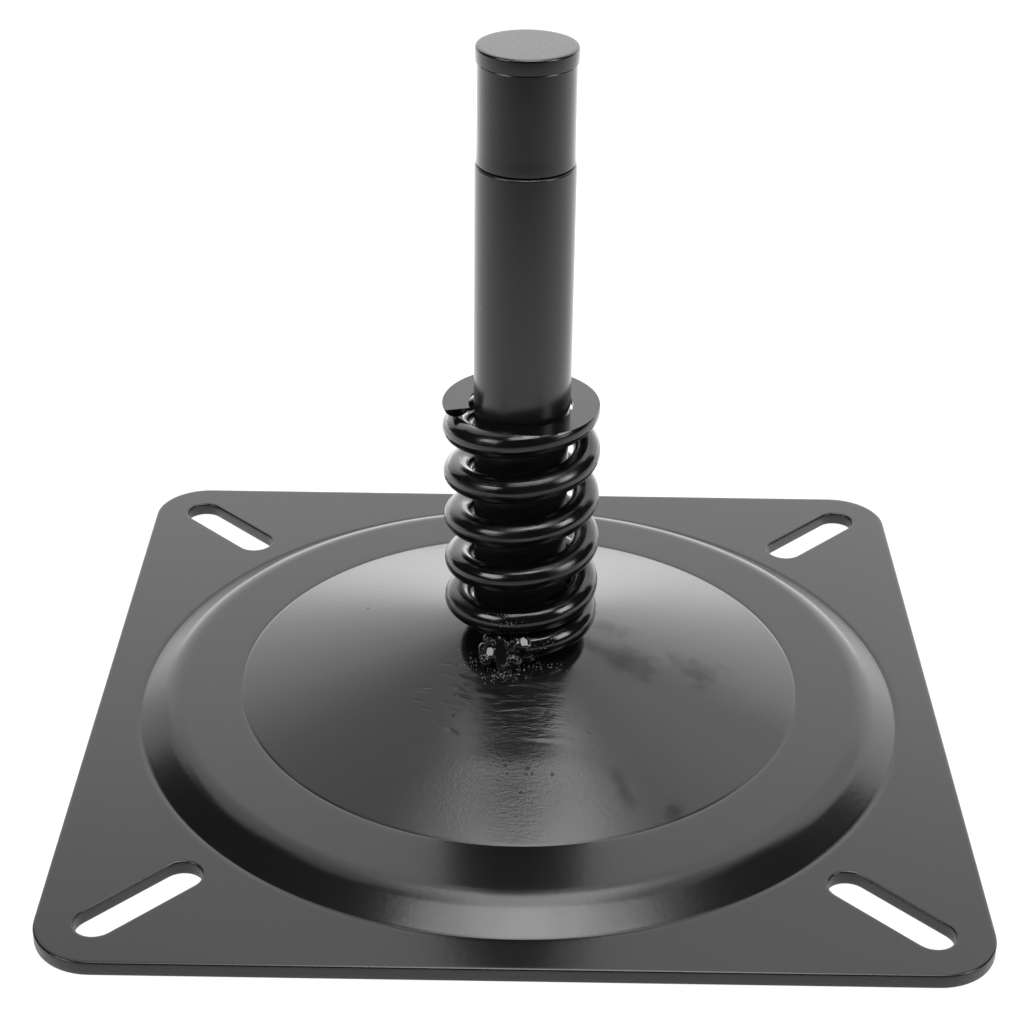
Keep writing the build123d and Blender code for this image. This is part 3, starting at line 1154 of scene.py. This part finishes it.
def white_table():
    """Material of the floor: it looks white, and sends up less light in front than at the back."""
    material, tree, shader = new_material("white_table")
    shader.inputs["Base Color"].default_value = (0.12, 0.12, 0.12, 1)
    shader.inputs["Roughness"].default_value = 0.9
    shader.inputs["Emission Color"].default_value = (1, 1, 1, 1)
    depth = tree.nodes.new("ShaderNodeSeparateXYZ")
    tree.links.new(millimetres(tree), depth.inputs[0])
    glow = fade(tree, depth.outputs["Y"], -600, 900, 0.12, 2.6, "LINEAR")
    tree.links.new(seen_or_mirrored(tree, 0.95, glow), shader.inputs["Emission Strength"])
    return material


FLOOR_HALF = 3.0
FLOOR_Z = -0.0002
corners = [(x * FLOOR_HALF, y * FLOOR_HALF, FLOOR_Z) for x, y in ((-1, -1), (1, -1), (1, 1), (-1, 1))]
floor_mesh = bpy.data.meshes.new("table_top")
floor_mesh.from_pydata(corners, [], [(0, 1, 2, 3)])
floor = add_object("table_top", floor_mesh)
floor.data.materials.append(white_table())


def soft_light(name, place, looks, wide, tall, brightness):
    """Rectangular light whose surface has a given brightness. 1 is as bright as white paper."""
    data = bpy.data.lights.new(name, "AREA")
    data.shape = "RECTANGLE"
    data.size = wide
    data.size_y = tall
    data.energy = brightness * math.pi * wide * tall
    light = add_object(name, data)
    light.location = place
    light.rotation_euler = Vector(looks).to_track_quat("-Z", "Y").to_euler()


DOWN = (0, 0, -1)
FORWARD = (0, -1, 0)
# name, place, direction, width, height, brightness
PANELS = (
    ("over_front", (0.05, -0.335, 1.1), DOWN, 0.86, 0.27, 6.0),
    ("over_rear", (0.04, 0.15, 1.1), DOWN, 0.62, 0.70, 2.3),
    ("over_core", (0.05, 0.05, 1.08), DOWN, 0.34, 1.00, 3.2),
    ("over_left", (-0.44, 0.30, 1.1), DOWN, 0.28, 0.40, 0.9),
    ("over_right", (0.49, 0.10, 1.1), DOWN, 0.22, 0.80, 1.1),
    ("ceiling_left", (-0.58, 0.80, 1.1), DOWN, 0.64, 0.60, 1.15),
    ("ceiling_middle", (0.06, 0.80, 1.1), DOWN, 0.64, 0.60, 1.6),
    ("ceiling_right", (0.79, 0.80, 1.1), DOWN, 0.82, 0.60, 1.9),
    ("ceiling_back", (0.0, 1.3, 1.1), DOWN, 2.4, 0.40, 1.45),
    ("wall_left", (-0.8, 1.5, 0.55), FORWARD, 0.8, 1.1, 1.75),
    ("wall_middle", (0.0, 1.5, 0.55), FORWARD, 0.8, 1.1, 1.85),
    ("wall_right", (0.8, 1.5, 0.55), FORWARD, 0.8, 1.1, 2.1),
    ("wall_foot", (0.0, 1.48, 0.13), FORWARD, 1.7, 0.26, 1.0),
    ("side_left", (-1.2, 1.22, 0.55), (1, 0, 0), 0.55, 1.1, 1.2),
    ("side_right", (1.2, 1.12, 0.55), (-1, 0, 0), 0.75, 1.1, 2.0),
    ("box_left", (-1.45, -0.92, 1.22), (1.45, 0.92, -1.17), 0.95, 0.72, 7.5),
    ("box_right", (1.6, -0.78, 1.14), (-1.6, 0.78, -1.09), 0.68, 0.95, 8.5),
)
for panel in PANELS:
    soft_light(*panel)
world = bpy.data.worlds.new("dim_room")
world.use_nodes = True
room = world.node_tree
room.links.new(seen_or_mirrored(room, 0.95, 0.04), room.nodes["Background"].inputs["Strength"])
room.nodes["Background"].inputs["Color"].default_value = (1, 1, 1, 1)
bpy.context.scene.world = world

# %% [markdown]
# ## The camera
# The view came from matching the plate's corners, its slots and the pressing's circles in the
# photograph: 40 cm in front, looking down by 29 degrees, with a slight roll. A plain view
# transform keeps the blacks as dark as they are.

# %% Camera
CAMERA_PLACE = (-0.49, -397.76, 270.2)
LOOK_DOWN = 29.15
LOOK_ASIDE = 0.18
ROLL = 0.766
camera_data = bpy.data.cameras.new("camera")
camera_data.sensor_width = 36.0
camera_data.lens = 78.04
camera = add_object("camera", camera_data)
turn = Matrix.Rotation(math.radians(LOOK_ASIDE), 4, "Z")
tilt = Matrix.Rotation(math.radians(90 - LOOK_DOWN), 4, "X")
roll = Matrix.Rotation(math.radians(ROLL), 4, "Z")
camera.matrix_world = Matrix.Translation(Vector(CAMERA_PLACE) * MM) @ turn @ tilt @ roll
bpy.context.scene.camera = camera
bpy.context.scene.view_settings.view_transform = "Standard"
bpy.context.scene.cycles.use_denoising = True
print("camera at", [round(c, 3) for c in camera.location])
